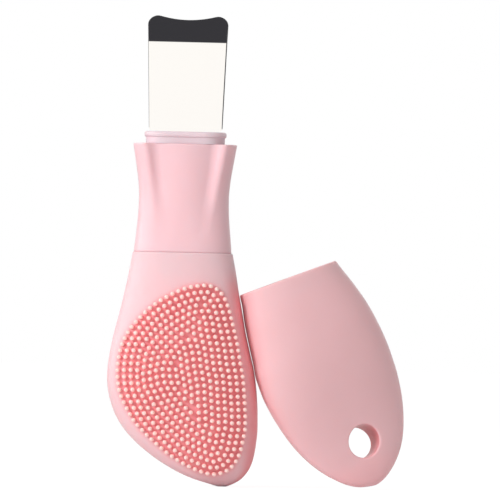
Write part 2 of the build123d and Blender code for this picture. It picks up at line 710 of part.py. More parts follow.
def eccentric_weight():
    """Disc on the shaft's -X end with its top cut away."""
    weight = motor_cyl(3.4, -5.2, -1.0)
    weight = weight - box(MOTOR_X - 6, MOTOR_X, -4, 4, MOTOR_Z + 1.3, MOTOR_Z + 5)
    return weight - motor_cyl(SHAFT_R, -6, 0)


def motor_boot():
    """Block around the can."""
    block = box(MOTOR_X + 1.6, MOTOR_X + 13.6, -5.2, BOOT_BACK_Y, MOTOR_Z - 5.0, MOTOR_Z + 5.0)
    boot = largest(block - motor_cyl(MOTOR_R + 0.02, -5, 30))
    return boot.fillet(1.0, list(boot.edges().filter_by(Axis.X)))


save(motor_can(), "motor_can")
save(motor_cyl(SHAFT_R, -5.6, MOTOR_L - 0.5), "motor_shaft")
save(motor_armature(), "motor_armature")
save(eccentric_weight(), "eccentric_weight")
save(motor_boot(), "motor_boot")

# -------------------------------------------------------------------- wiring
# points along each wire: two from the cell, one from the motor, one from the stack
WIRE_PATHS = [
    [(BATT_X + 1.0, 0.0, 67.75), (BATT_X + 1.2, 0.8, 69.8), (-1.6, 2.8, 72.3),
     (-1.6, 5.3, 73.2)],
    [(BATT_X + 9.2, -2.5, 27.5), (BATT_X + 10.2, -3.0, 34), (BATT_X + 10.4, -3.0, 50),
     (BATT_X + 10.0, -1.0, 66), (5.8, 2.8, 72.6), (5.6, 5.3, 73.8)],
    [(15.8, 0.8, 18.6), (17.6, 0.6, 21.0), (17.2, -0.2, 27.0), (15.4, -1.0, 38.0),
     (12.8, -1.0, 54.0), (9.4, 0.5, 68.0), (6.4, 3.2, 80.0), (6.2, 5.3, 80.8)],
    [(0.0, -6.2, 90.6), (3.0, -7.0, 86.5), (7.3, -3.5, 83.0), (7.0, 2.0, 81.9),
     (4.6, 5.3, 81.3)]]


def wire(points, r=0.45):
    path = Edge.make_spline([Vector(*p) for p in points])
    start = Plane(origin=path.position_at(0), z_dir=path.tangent_at(0))
    return Solid.sweep(Face(Wire.make_circle(r, start)), Wire([path]))


save_group([wire(points) for points in WIRE_PATHS], "wiring")

# ---------------------------------------------------------------- travel cap
# drawn upright with its mouth at z = 0, then carried to its resting place
CAP_LEN = 79.2
CAP_T = 1.6
HOLE_X, HOLE_Z, HOLE_R = -4.2, 62.7, 5.8   # hanging hole, z from the mouth
# distance from the mouth, x of the -X edge, x of the +X edge
CAP = [
    (0, -18.09, 18.14), (3.5, -19.26, 18.45), (10, -21.54, 19.75), (18.5, -23.96, 21.1),
    (24, -24.94, 22.0), (30, -25.68, 23.25), (36, -26.06, 23.38), (42, -26.03, 22.8),
    (50, -25.24, 21.19), (56, -23.93, 19.35), (61, -22.29, 17.17), (65, -20.57, 14.89),
    (69, -18.18, 11.96), (72.5, -15.17, 8.68), (75.2, -12.18, 5.62), (77, -9.71, 2.79),
    (78.2, -7.23, -0.31), (CAP_LEN, -5.14, -4.02)]
CAP_Z = [z for z, _, _ in CAP]
cap_x_min = curve([(z, x) for z, x, _ in CAP])
cap_x_max = curve([(z, x) for z, _, x in CAP])
cap_half_d = curve([
    (0, 12.4), (10, 12.9), (20, 13.0), (30, 12.4), (40, 10.9), (50, 8.6), (60, 6.1),
    (63, 5.5), (67.4, 4.7), (73.2, 3.5), (75.6, 2.8), (77.2, 2.1), (78.4, 1.4), (CAP_LEN, 0.7)])


def cap_section(z, inset, drop=0.0):
    """The cap's section for height z, drawn in by inset and lowered by drop."""
    half_d = cap_half_d(z) - inset
    return rounded_section(z - drop, cap_x_min(z) + inset, cap_x_max(z) - inset,
                           half_d, half_d, BODY_POWER)


def on_hole(edge):
    """True for the closed rims of the hanging hole, not its straight seam."""
    for t in (0.0, 0.25, 0.5, 0.75, 1.0):
        p = edge.position_at(t)
        if abs(math.hypot(p.X - HOLE_X, p.Z - HOLE_Z) - HOLE_R) > 0.03:
            return False
    a, b = edge.position_at(0.2), edge.position_at(0.8)
    return math.hypot(a.X - b.X, a.Z - b.Z) > 0.5 or edge.length > 20


def cap_shell():
    """Hollow cap with a walled hole through it along Y."""
    outer = Solid.make_loft([cap_section(z, 0) for z in CAP_Z])
    # the hollow starts just below the mouth and ends in a solid tip
    inner = Solid.make_loft([cap_section(z, CAP_T, 0.4 if z == 0 else 0)
                             for z in CAP_Z[:12] + [68.5]])
    tube = cyl_y(HOLE_R + 1.5, -20, 20, HOLE_X, HOLE_Z)
    shell = largest(outer - (inner - tube) - cyl_y(HOLE_R, -20, 20, HOLE_X, HOLE_Z))
    return shell.fillet(0.6, [e for e in shell.edges() if on_hole(e)])


def cap_liner():
    """Retention ring in the cap's mouth, around the collar's bead."""
    ring = Solid.make_loft([cap_section(z, CAP_T + 0.02) for z in (1.0, 3.5, 6.0)])
    return largest(ring - stadium(BEAD_W + 0.3, BEAD_D + 0.3, 0, 9))


# rest place: taken off, standing on its tip beside the brush head
TILT, ROLL = 21.3, -20.0
MOUTH_X, MOUTH_Z = 37.0, 73.5
LINED_UP_Z = 168.3     # mouth height with the cap upright over the blade
# y at which one turn about a fixed axis carries the cap from rest to lined up:
# the mouth's path then has no component along that axis
MOUTH_Y = -math.tan(math.radians(ROLL / 2)) * (
    MOUTH_X + (MOUTH_Z - LINED_UP_Z) / math.tan(math.radians((180 - TILT) / 2)))
CAP_PLACE = (Location((MOUTH_X, MOUTH_Y, MOUTH_Z))
             * (Rotation(0, 180 - TILT, 0) * Rotation(0, 0, ROLL)))

save(cap_shell().moved(CAP_PLACE), "cap_shell")
save(cap_liner().moved(CAP_PLACE), "cap_liner")
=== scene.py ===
"""A hand-held skin-care device with a travel cap leaning beside it.

The device stands upright along +Z and its front faces -Y. From the floor up it has a bristled
silicone brush head, a two-part handle and a steel spatula blade. Outlines are in millimetres
and are scaled to metres where meshes are made.
"""
import bpy, bmesh, math
import numpy as np
from mathutils import Vector, Matrix, kdtree

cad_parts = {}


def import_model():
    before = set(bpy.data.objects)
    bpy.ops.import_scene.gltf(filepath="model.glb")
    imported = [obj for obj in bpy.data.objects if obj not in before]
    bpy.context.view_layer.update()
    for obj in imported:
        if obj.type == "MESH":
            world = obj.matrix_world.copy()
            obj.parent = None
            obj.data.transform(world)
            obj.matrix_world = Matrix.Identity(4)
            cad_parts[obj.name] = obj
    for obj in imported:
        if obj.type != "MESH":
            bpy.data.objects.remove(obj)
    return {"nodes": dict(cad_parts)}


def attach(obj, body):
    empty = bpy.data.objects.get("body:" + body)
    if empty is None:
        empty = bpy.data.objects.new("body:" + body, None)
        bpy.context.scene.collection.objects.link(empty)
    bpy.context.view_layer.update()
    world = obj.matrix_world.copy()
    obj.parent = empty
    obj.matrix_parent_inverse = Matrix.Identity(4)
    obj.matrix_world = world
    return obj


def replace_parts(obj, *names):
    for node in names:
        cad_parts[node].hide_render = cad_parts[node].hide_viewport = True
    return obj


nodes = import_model()["nodes"]
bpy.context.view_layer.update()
scene = bpy.context.scene
MM = 0.001


# ------------------------------------------------------------ curves and sections
def curve(points):
    """Smooth curve through (position, value) points that never overshoots; constant outside."""
    at = [p[0] for p in points]
    value = [p[1] for p in points]
    count = len(points)
    step = [at[i + 1] - at[i] for i in range(count - 1)]
    slope = [(value[i + 1] - value[i]) / step[i] for i in range(count - 1)]
    tangent = [0.0] * count
    for i in range(1, count - 1):
        if slope[i - 1] * slope[i] > 0:
            before = 2 * step[i] + step[i - 1]
            after = step[i] + 2 * step[i - 1]
            tangent[i] = (before + after) / (before / slope[i - 1] + after / slope[i])
    tangent[0], tangent[-1] = slope[0], slope[-1]

    def evaluate(x):
        if x <= at[0]:
            return value[0]
        if x >= at[-1]:
            return value[-1]
        i = 0
        while x > at[i + 1]:
            i += 1
        t = (x - at[i]) / step[i]
        return ((2 * t**3 - 3 * t**2 + 1) * value[i]
                + (t**3 - 2 * t**2 + t) * step[i] * tangent[i]
                + (-2 * t**3 + 3 * t**2) * value[i + 1]
                + (t**3 - t**2) * step[i] * tangent[i + 1])
    return evaluate


def smooth(t):
    t = min(max(t, 0.0), 1.0)
    return t * t * (3 - 2 * t)


def smooth_min(a, b, blend):
    overlap = max(blend - abs(a - b), 0.0) / blend
    return min(a, b) - overlap * overlap * blend * 0.25


def smooth_max(a, b, blend):
    return -smooth_min(-a, -b, blend)


def rounding(radius, depth):
    """How far a rounded edge draws in, at a depth past the start of the rounding."""
    if depth <= 0:
        return 0.0
    return radius - math.sqrt(max(0.0, radius ** 2 - depth ** 2))


def signed_power(value, power):
    return math.copysign(abs(value) ** power, value)


def ring(z, left, right, front, back, power, count):
    """A level superellipse between left and right, with its own front and back depths."""
    middle, half = (left + right) / 2, (right - left) / 2
    points = []
    for i in range(count):
        angle = 2 * math.pi * i / count
        across, along = math.cos(angle), math.sin(angle)
        depth = back if along > 0 else front
        points.append((middle + half * signed_power(across, 2 / power),
                       depth * signed_power(along, 2 / power), z))
    return points


def oval_depth(x, left, right, depth, power):
    """Half depth of a superellipse section at x."""
    middle, half = (left + right) / 2, (right - left) / 2
    return depth * (1 - min(abs(x - middle) / half, 0.999) ** power) ** (1 / power)


# ------------------------------------------------------------------ mesh helpers
def to_metres(rings):
    return [Vector(p) * MM for points in rings for p in points]


def band_faces(rings, count, first=0, closed=True, wrap=False):
    """Quads between successive rings; wrap also joins the last ring to the first."""
    faces = []
    for r in range(rings if wrap else rings - 1):
        low = first + r * count
        high = first + (r + 1) % rings * count
        for i in range(count if closed else count - 1):
            j = (i + 1) % count
            faces.append((low + i, low + j, high + j, high + i))
    return faces


def solid_faces(rings, count):
    """Bands with both ends closed."""
    last = (rings - 1) * count
    return band_faces(rings, count) + [tuple(reversed(range(count))),
                                       tuple(last + i for i in range(count))]


def new_mesh(name, verts, faces, material, replaces=(), shade=True):
    mesh = bpy.data.meshes.new(name)
    mesh.from_pydata([tuple(v) for v in verts], [], faces)
    mesh.validate()
    mesh.update()
    ob = bpy.data.objects.new(name, mesh)
    scene.collection.objects.link(ob)
    if shade:
        mesh.polygons.foreach_set("use_smooth", [True] * len(mesh.polygons))
    mesh.materials.append(material)
    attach(ob, "device")
    if replaces:
        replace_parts(ob, *replaces)
    return ob


def face_outward(mesh):
    bm = bmesh.new()
    bm.from_mesh(mesh)
    bmesh.ops.recalc_face_normals(bm, faces=bm.faces)
    bm.to_mesh(mesh)
    bm.free()


def set_painted_shade(mesh, values):
    """Store where a material shows its painted shade, 0 to 1 per vertex."""
    mesh.attributes.new("painted_shade", "FLOAT", "POINT").data.foreach_set("value", values)


def apply_modifier(ob, kind, **settings):
    modifier = ob.modifiers.new("shape", kind)
    for key, value in settings.items():
        setattr(modifier, key, value)
    bpy.context.view_layer.objects.active = ob
    ob.select_set(True)
    bpy.ops.object.modifier_apply(modifier=modifier.name)
    ob.select_set(False)


def cut(ob, tool):
    """Subtract the tool from the object and discard the tool."""
    apply_modifier(ob, "BOOLEAN", operation="DIFFERENCE", solver="EXACT", object=tool)
    bpy.data.objects.remove(tool)


def solid(rings):
    mesh = bpy.data.meshes.new("solid")
    verts = [tuple(v) for v in to_metres(rings)]
    mesh.from_pydata(verts, [], solid_faces(len(rings), len(rings[0])))
    face_outward(mesh)
    ob = bpy.data.objects.new("solid", mesh)
    scene.collection.objects.link(ob)
    return ob


# -------------------------------------------------------------- shader helpers
class Nodes:
    """A cleared node tree with short ways to add and join nodes."""

    def __init__(self, tree):
        self.tree = tree
        tree.nodes.clear()

    def node(self, kind, **settings):
        node = self.tree.nodes.new(kind)
        for key, value in settings.items():
            setattr(node, key, value)
        return node

    def link(self, source, socket):
        self.tree.links.new(source, socket)

    def feed(self, socket, value):
        """Set a socket to a number or an RGB colour, or link an output to it."""
        if isinstance(value, (int, float)):
            socket.default_value = value
        elif isinstance(value, tuple):
            socket.default_value = (*value, 1.0)
        else:
            self.link(value, socket)

    def map_range(self, source, to, span=(0.0, 1.0), kind="LINEAR"):
        node = self.node("ShaderNodeMapRange", interpolation_type=kind)
        node.inputs["From Min"].default_value, node.inputs["From Max"].default_value = span
        node.inputs["To Min"].default_value, node.inputs["To Max"].default_value = to
        self.link(source, node.inputs["Value"])
        return node.outputs["Result"]

    def mix_shader(self, factor, first, second):
        node = self.node("ShaderNodeMixShader")
        for socket, source in zip(node.inputs, (factor, first, second)):
            self.link(source, socket)
        return node.outputs[0]


class Surface(Nodes):
    """A material around one Principled shader, textured in object coordinates."""

    SOCKETS = {"color": "Base Color", "rough": "Roughness", "metal": "Metallic", "ior": "IOR",
               "sss": "Subsurface Weight", "sss_scale": "Subsurface Scale",
               "coat": "Coat Weight", "coat_rough": "Coat Roughness", "normal": "Normal",
               "emit": "Emission Color", "emit_strength": "Emission Strength"}

    def __init__(self, name):
        self.mat = bpy.data.materials.new(name)
        self.mat.use_nodes = True
        super().__init__(self.mat.node_tree)
        self.out = self.node("ShaderNodeOutputMaterial")
        self.shader = self.node("ShaderNodeBsdfPrincipled")
        self.link(self.shader.outputs[0], self.out.inputs[0])
        self.coords = self.node("ShaderNodeTexCoord").outputs["Object"]

    def put(self, **values):
        for key, value in values.items():
            self.feed(self.shader.inputs[self.SOCKETS[key]], value)

    def scatter_radius(self, radius):
        self.shader.inputs["Subsurface Radius"].default_value = radius

    def stretched(self, scale):
        node = self.node("ShaderNodeMapping")
        node.inputs["Scale"].default_value = scale
        self.link(self.coords, node.inputs["Vector"])
        return node.outputs["Vector"]

    def noise(self, scale, detail=3.0, rough=0.5, vector=None):
        node = self.node("ShaderNodeTexNoise")
        node.inputs["Scale"].default_value = scale
        node.inputs["Detail"].default_value = detail
        node.inputs["Roughness"].default_value = rough
        self.link(vector or self.coords, node.inputs["Vector"])
        return node.outputs["Fac"]

    def ramp(self, factor, low, high):
        node = self.node("ShaderNodeValToRGB")
        stops = zip(node.color_ramp.elements, (0.3, 0.7), (low, high))
        for element, position, color in stops:
            element.position = position
            element.color = (*color, 1.0)
        self.link(factor, node.inputs["Fac"])
        return node.outputs["Color"]

    def painted_shade(self):
        return self.node("ShaderNodeAttribute", attribute_name="painted_shade").outputs["Fac"]

    def mix(self, factor, first, second):
        node = self.node("ShaderNodeMix", data_type="RGBA")
        for index, value in ((0, factor), (6, first), (7, second)):
            self.feed(node.inputs[index], value)
        return node.outputs[2]

    def bump(self, height, strength, distance, normal=None):
        node = self.node("ShaderNodeBump")
        node.inputs["Strength"].default_value = strength
        node.inputs["Distance"].default_value = distance
        self.link(height, node.inputs["Height"])
        if normal is not None:
            self.link(normal, node.inputs["Normal"])
        return node.outputs["Normal"]

    def bevel(self, radius):
        node = self.node("ShaderNodeBevel", samples=6)
        node.inputs["Radius"].default_value = radius
        return node.outputs["Normal"]


# -------------------------------------------------------------------- materials
def moulded(name, color, rough, sss, bevel=None, painted_shade=None):
    """Slightly translucent moulded plastic; the optional second colour is painted shade on
    marked surfaces.
    """
    m = Surface(name)
    darker = tuple(c * (1 - 0.04) for c in color)
    lighter = tuple(min(1.0, c * (1 + 0.04 * 0.6)) for c in color)
    base = m.ramp(m.noise(28.0, detail=2.0), darker, lighter)
    if painted_shade:
        base = m.mix(m.painted_shade(), base, painted_shade)
    m.put(color=base)
    grain = m.noise(900.0, detail=4.0, rough=0.6)
    m.put(rough=m.map_range(m.noise(160.0), (rough - 0.04, rough + 0.04)))
    edges = m.bevel(bevel) if bevel else None
    m.put(normal=m.bump(grain, strength=0.06, distance=0.00002, normal=edges),
          sss=sss, sss_scale=1.0, coat=0.0, coat_rough=0.12, ior=1.47)
    m.scatter_radius((0.006, 0.003, 0.0025))
    return m.mat


def silicone(name, low, high, glow=False):
    """Silicone, pale on open surfaces and bristle tips, with a darker red painted shade where
    marked: the valleys, the bristles' roots and the head's right rim.
    """
    m = Surface(name)
    valley_shade = m.painted_shade()
    pale = m.ramp(m.noise(30.0, detail=2.0), low, high)
    # painted shade colour: darker red for the valleys, the bristle roots and the right rim
    painted_shade = m.ramp(m.noise(220.0), (0.91, 0.33, 0.36), (0.95, 0.39, 0.41))
    m.put(color=m.mix(valley_shade, pale, painted_shade))
    m.put(rough=m.map_range(m.noise(240.0), (0.38, 0.50)), sss=0.30, sss_scale=1.0, ior=1.41)
    if glow:                # painted glow standing in for light carried through the soft fingers from the sides
        m.put(emit=(0.90, 0.52, 0.52), emit_strength=0.13)
    m.scatter_radius((0.0045, 0.0014, 0.0012))
    grain = m.noise(1400.0, detail=4.0, rough=0.6)
    m.put(normal=m.bump(grain, strength=0.08, distance=0.00002))
    return m.mat


def polished_steel():
    """Mirror-polished sheet with faint drawing lines."""
    m = Surface("polished_steel")
    lines = m.noise(5000.0, rough=0.6, vector=m.stretched((1.0, 1.0, 0.02)))
    m.put(color=m.ramp(m.noise(40.0, detail=2.0), (0.995, 0.962, 0.92), (1.0, 0.972, 0.93)),
          metal=1.0, rough=m.map_range(lines, (0.035, 0.075)),
          normal=m.bump(lines, strength=0.015, distance=0.000005))
    return m.mat


# near-black steel for the blade's side faces: painted shade standing in for the dark lines
# along its edges
def painted_edge_shade():
    m = Surface("painted_edge_shade")
    m.put(color=m.ramp(m.noise(2600.0), (0.06, 0.058, 0.058), (0.085, 0.08, 0.08)),
          metal=0.3, rough=m.map_range(m.noise(1800.0), (0.34, 0.50)),
          normal=m.bump(m.noise(4000.0), strength=0.1, distance=0.000008))
    return m.mat


def metal(name, color, rough, stretch=(1.0, 1.0, 1.0)):
    m = Surface(name)
    lines = m.noise(1500.0, rough=0.6, vector=m.stretched(stretch))
    m.put(color=m.ramp(lines, tuple(c * 0.9 for c in color), color), metal=1.0,
          rough=m.map_range(lines, (rough - 0.06, rough + 0.08)),
          normal=m.bump(lines, strength=0.1, distance=0.00001))
    return m.mat


def plain(name, color, rough):
    m = Surface(name)
    mottle = m.noise(300.0)
    m.put(color=m.ramp(mottle, tuple(c * (1 - 0.12) for c in color), color),
          rough=m.map_range(mottle, (rough - 0.06, rough + 0.06)),
          normal=m.bump(m.noise(1500.0), strength=0.1, distance=0.00002))
    return m.mat


def light_pipe():
    m = Surface("light_pipe")
    m.put(color=m.ramp(m.noise(300.0), (0.93, 0.90, 0.90), (0.97, 0.95, 0.95)),
          rough=0.18, sss=0.3, ior=1.49)
    return m.mat


case = moulded("pink_case", (0.955, 0.59, 0.635), rough=0.33, sss=0.25, bevel=0.0006)
# the cap's second colour is painted shade for the hanging hole's wall
cap_pink = moulded("pink_cap", (0.975, 0.56, 0.59), rough=0.30, sss=0.25, bevel=0.0003,
                   painted_shade=(0.80, 0.27, 0.29))
collar = moulded("lilac_collar", (0.81, 0.635, 0.69), rough=0.30, sss=0.2, bevel=0.0002)
button = moulded("button_pink", (0.93, 0.72, 0.75), rough=0.28, sss=0.2, bevel=0.0002)
gasket = moulded("gasket_silicone", (0.82, 0.66, 0.70), rough=0.5, sss=0.4)
skin_silicone = silicone("brush_silicone", low=(0.90, 0.575, 0.615), high=(0.95, 0.62, 0.655))
bristle_silicone = silicone("bristle_silicone", low=(0.95, 0.66, 0.61),
                            high=(0.98, 0.70, 0.65), glow=True)
blade_steel = polished_steel()
blade_edge_shade = painted_edge_shade()
steel = metal("machined_steel", (0.55, 0.55, 0.57), rough=0.32, stretch=(1, 1, 0.1))
aluminium = metal("machined_aluminium", (0.80, 0.80, 0.82), rough=0.34, stretch=(0.1, 1, 1))
gold = metal("gold_contact", (0.95, 0.74, 0.36), rough=0.22)
brass = metal("sintered_brass", (0.78, 0.62, 0.34), rough=0.40)
copper = metal("wound_copper", (0.78, 0.40, 0.24), rough=0.35, stretch=(8, 1, 1))
board = plain("solder_mask", (0.03, 0.22, 0.09), rough=0.35)
epoxy = plain("moulded_epoxy", (0.05, 0.05, 0.055), rough=0.5)
ceramic = plain("sintered_ceramic", (0.78, 0.74, 0.66), rough=0.6)
inner_plastic = plain("inner_plastic", (0.82, 0.82, 0.82), rough=0.5)
battery_wrap = plain("battery_wrap", (0.05, 0.16, 0.42), rough=0.35)
rubber = plain("black_rubber", (0.03, 0.03, 0.03), rough=0.6)
wire_sleeve = plain("wire_sleeve", (0.55, 0.05, 0.05), rough=0.45)
led_body = plain("led_body", (0.85, 0.85, 0.80), rough=0.4)
clear_pipe = light_pipe()

NODE_MATERIALS = {
    "front_case": case, "back_case": case, "cap_shell": cap_pink, "collar": collar,
    "power_button": button, "mode_button": button, "collar_seal": gasket,
    "blade_grommet": gasket, "cap_liner": gasket, "brush_skin": skin_silicone,
    "bristles": bristle_silicone, "blade": blade_steel, "case_screws": steel,
    "clamp_screws": steel, "horn_block": aluminium, "blade_clamp": aluminium,
    "piezo_rings": ceramic, "tail_mass": steel, "stack_bolt": steel, "main_pcb": board,
    "pcb_components": epoxy, "power_switch": epoxy, "mode_switch": epoxy,
    "indicator_leds": led_body, "light_pipes": clear_pipe, "charge_pins": gold,
    "battery": battery_wrap, "battery_cradle": inner_plastic, "motor_can": steel,
    "motor_shaft": steel, "motor_armature": copper, "eccentric_weight": brass,
    "motor_boot": rubber, "wiring": wire_sleeve,
}
for name, ob in nodes.items():
    ob.data.materials.clear()
    ob.data.materials.append(NODE_MATERIALS[name])

# ------------------------------------------------------ brush head, silicone skin
SEAM_Z = 81.5           # where the head meets the handle
# (height z, x of the left outline)
head_left = curve([
    (0, 14.2), (0.3, 13.0), (0.8, 11.3), (1.5, 8.7), (2.5, 5.4), (4, 1.6), (6, -2.4),
    (8, -5.8), (11, -10.2), (15, -15.0), (20, -19.6), (26, -23.0), (33, -25.0),
    (36.5, -25.4), (40, -25.35), (47, -24.5), (54, -23.1), (61, -21.4), (68, -19.9),
    (75, -18.5), (SEAM_Z, -17.5)])
# (height z, x of the right outline)
head_right = curve([
    (0, 17.2), (0.3, 18.0), (0.8, 19.2), (1.5, 20.6), (2.5, 22.1), (4, 23.6), (6, 25.0),
    (8, 25.9), (11, 26.7), (15, 27.3), (20, 27.7), (26, 27.6), (33, 27.1), (40, 26.1),
    (47, 24.40), (54, 22.72), (61, 21.38), (68, 20.0), (75, 18.8), (SEAM_Z, 17.5)])
# (height z, depth of the front half)
head_depth = curve([
    (0, 1.3), (0.3, 2.6), (0.8, 4.0), (1.5, 5.4), (2.5, 6.9), (4, 8.4), (6, 9.9),
    (8, 11.0), (11, 12.1), (15, 13.0), (20, 13.6), (26, 13.9), (33, 14.0), (40, 13.9),
    (47, 13.6), (54, 13.2), (61, 12.7), (68, 12.2), (75, 11.8), (SEAM_Z, 11.5)])
BACK_RATIO = 0.93       # back depth over front depth
HEAD_POWER = 2.4
HEAD_COUNT = 192
LIP_INSET = 1.8         # lip turned in under the handle's edge
LIP_FOOT_Z = 74.0


def find_bristles():
    """(x, z, tip y, root y) in metres of each bristle in the frame's own bristle node."""
    mesh = nodes["bristles"].data
    points = np.zeros(len(mesh.vertices) * 3)
    mesh.vertices.foreach_get("co", points)
    points = points.reshape(-1, 3)
    parent = list(range(len(points)))

    def root(i):
        while parent[i] != i:
            parent[i] = parent[parent[i]]
            i = parent[i]
        return i

    for edge in mesh.edges:
        a, b = root(edge.vertices[0]), root(edge.vertices[1])
        if a != b:
            parent[a] = b
    islands = {}
    for i in range(len(points)):
        islands.setdefault(root(i), []).append(i)
    # islands centred within the same half millimetre belong to one bristle
    boxes = {}
    for members in islands.values():
        low, high = points[members].min(0), points[members].max(0)
        key = (round((low[0] + high[0]) / 2 * 2000), round((low[2] + high[2]) / 2 * 2000))
        box = boxes.setdefault(key, [low.copy(), high.copy()])
        box[0] = np.minimum(box[0], low)
        box[1] = np.maximum(box[1], high)
    return sorted(((low[0] + high[0]) / 2, (low[2] + high[2]) / 2, low[1], high[1])
                  for low, high in boxes.values())


bristles = find_bristles()
bristle_tree = kdtree.KDTree(len(bristles))
for i, spot in enumerate(bristles):
    bristle_tree.insert(Vector((spot[0], 0, spot[1])), i)
bristle_tree.balance()


def density(x, z):
    """How closely the bristles stand around a place; metres."""
    near = bristle_tree.find_range(Vector((x, 0, z)), 0.007)
    return sum(math.exp(-distance * distance / (2 * 0.0021 ** 2)) for _, _, distance in near)


def skin_ring(z, inset):
    depth = head_depth(z)
    return ring(z, head_left(z) + inset, head_right(z) - inset, depth - inset,
                depth * BACK_RATIO - inset, HEAD_POWER, HEAD_COUNT)


def skin_painted_shade(point, full):
    """Painted shade among the bristles and along the right rim of the head, which faces away
    from the key light.
    """
    z = point.z * 1000
    left, right = head_left(z), head_right(z)
    across = (point.x * 1000 - (left + right) / 2) / ((right - left) / 2)
    # painted shade down the right rim, which faces away from the light, fading out towards the
    # top
    rim_shade = smooth((across - 0.70) / 0.30) * smooth((78.0 - z) / 12.0)
    # painted shade on the front where the bristles stand close together
    if point.y < 0:
        return max(rim_shade, smooth((density(point.x, point.z) / full - 0.30) / 0.62))
    return rim_shade


def build_skin():
    stations = [0.0, 0.1, 0.3, 0.55, 0.8, 1.15, 1.5, 2.0, 2.5, 3.2, 4.0, 5.0, 6.0, 7.0,
                *np.arange(8.0, 74.0, 0.75),
                75.5, 77.0, 78.5, 79.8, 80.6, 81.1, 81.35, SEAM_Z]
    rings = [skin_ring(z, 0.30 * rounding(1.0, (z - (SEAM_Z - 0.5)) / 0.5)) for z in stations]
    rings += [skin_ring(SEAM_Z, LIP_INSET), skin_ring(LIP_FOOT_Z, LIP_INSET)]
    skin = new_mesh("brush_head_skin", to_metres(rings), solid_faces(len(rings), HEAD_COUNT),
                    skin_silicone, replaces=["brush_skin"])
    full = np.percentile([density(spot[0], spot[1]) for spot in bristles], 60)
    set_painted_shade(skin.data, [skin_painted_shade(v.co, full) for v in skin.data.vertices])


build_skin()

# ----------------------------------------------------------------------- bristles
BRISTLE_COUNT = 14
BRISTLE_ROOT_R = 0.83 * MM


def build_bristles():
    """Slightly tapered fingers with round tips pointing forward."""
    verts, faces, painted_shade = [], [], []
    for x, z, tip_y, root_y in bristles:
        z_mm = z * 1000
        skin_y = -MM * oval_depth(x * 1000, head_left(z_mm), head_right(z_mm),
                                  head_depth(z_mm), HEAD_POWER)
        height = skin_y - tip_y
        # (radius, y) from root to tip
        profile = [(BRISTLE_ROOT_R, root_y), (BRISTLE_ROOT_R, skin_y),
                   (0.79 * MM, skin_y - height * 0.35),
                   (0.75 * MM, skin_y - height + 0.75 * MM)]
        for k in range(1, 6):
            angle = math.pi / 2 * k / 6
            profile.append((0.73 * MM * math.cos(angle),
                            tip_y + 0.70 * MM * (1 - math.sin(angle))))
        first = len(verts)
        for radius, y in profile:
            # painted shade along each bristle: full at the root, none at the tip
            shade = 0.95 - 0.95 * smooth(((skin_y - y) / height - 0.05) / 0.90)
            for i in range(BRISTLE_COUNT):
                angle = 2 * math.pi * i / BRISTLE_COUNT
                verts.append((x + radius * math.cos(angle), y, z + radius * math.sin(angle)))
                painted_shade.append(shade)
        faces += band_faces(len(profile), BRISTLE_COUNT, first)
        tip = len(verts)
        verts.append((x, tip_y, z))
        painted_shade.append(0.0)
        last = tip - BRISTLE_COUNT
        for i in range(BRISTLE_COUNT):
            faces.append((last + i, last + (i + 1) % BRISTLE_COUNT, tip))
        faces.append(tuple(first + i for i in reversed(range(BRISTLE_COUNT))))
    ob = new_mesh("brush_bristles", verts, faces, bristle_silicone,
                  replaces=["bristles"])
    set_painted_shade(ob.data, painted_shade)
    face_outward(ob.data)


build_bristles()

# -------------------------------------------------------------------------- blade
BLADE_T = 0.8
BLADE_FOOT_Z, BLADE_FOLD_Z, BLADE_TOP_Z = 124.0, 154.9, 164.3
FOLD = math.radians(32.0)
FOLD_R = 1.6
FOOT_HALF_W, TOP_HALF_W = 12.85, 14.2
FOOT_CORNER_R, TOP_CORNER_R = 1.1, 4.1
BLADE_LEN = BLADE_FOLD_Z - BLADE_FOOT_Z + (BLADE_TOP_Z - BLADE_FOLD_Z) / math.cos(FOLD)
BLADE_COLS = 28


def blade_half_width(s):
    width = FOOT_HALF_W + (TOP_HALF_W - FOOT_HALF_W) * s / BLADE_LEN
    return (width - rounding(FOOT_CORNER_R, FOOT_CORNER_R - s)
            - rounding(TOP_CORNER_R, s - (BLADE_LEN - TOP_CORNER_R)))


def sheet_point(x, s):
    """Middle of the sheet at arc length s above the lower edge, folded back in a small arc."""
    start = (BLADE_FOLD_Z - BLADE_FOOT_Z) - FOLD_R * math.tan(FOLD / 2)
    if s <= start:
        return x, 0.0, BLADE_FOOT_Z + s
    angle = min((s - start) / FOLD_R, FOLD)
    y = FOLD_R * (1 - math.cos(angle))
    z = BLADE_FOOT_Z + start + FOLD_R * math.sin(angle)
    beyond = s - start - FOLD_R * FOLD
    if beyond > 0:
        y += beyond * math.sin(FOLD)
        z += beyond * math.cos(FOLD)
    return x, y, z


def blade_row(s):
    width = blade_half_width(s)
    row = []
    for i in range(BLADE_COLS + 1):
        # columns are drawn closer together towards the sides
        x = (-math.cos(math.pi * i / BLADE_COLS) * 0.5 + (2 * i / BLADE_COLS - 1) * 0.5) * width
        # the top edge dips in the middle
        bow = 1 - (x / 10.3) ** 2
        dip = (1.78 * (bow + math.sqrt(bow * bow + 0.02)) / 2
               * smooth((s - (BLADE_LEN - 8.0)) / 8.0))
        row.append(sheet_point(x, s - dip))
    return row


def weight_long_sides(mesh):
    """The long sides are ground: a fine break on the left, a wider one down the right."""
    bm = bmesh.new()
    bm.from_mesh(mesh)
    layer = bm.edges.layers.float.new("bevel_weight_edge")
    for edge in bm.edges:
        if len(edge.link_faces) == 2 and edge.calc_face_angle() > math.radians(40):
            x = (edge.verts[0].co.x + edge.verts[1].co.x) / 2
            z = (edge.verts[0].co.z + edge.verts[1].co.z) / 2
            if abs(x) > 0.0122:
                edge[layer] = ((1.0 if x > 0 else 0.42) * smooth((z - 0.1248) / 0.0012)
                               * smooth((0.1606 - z) / 0.0015))
    bm.to_mesh(mesh)
    bm.free()


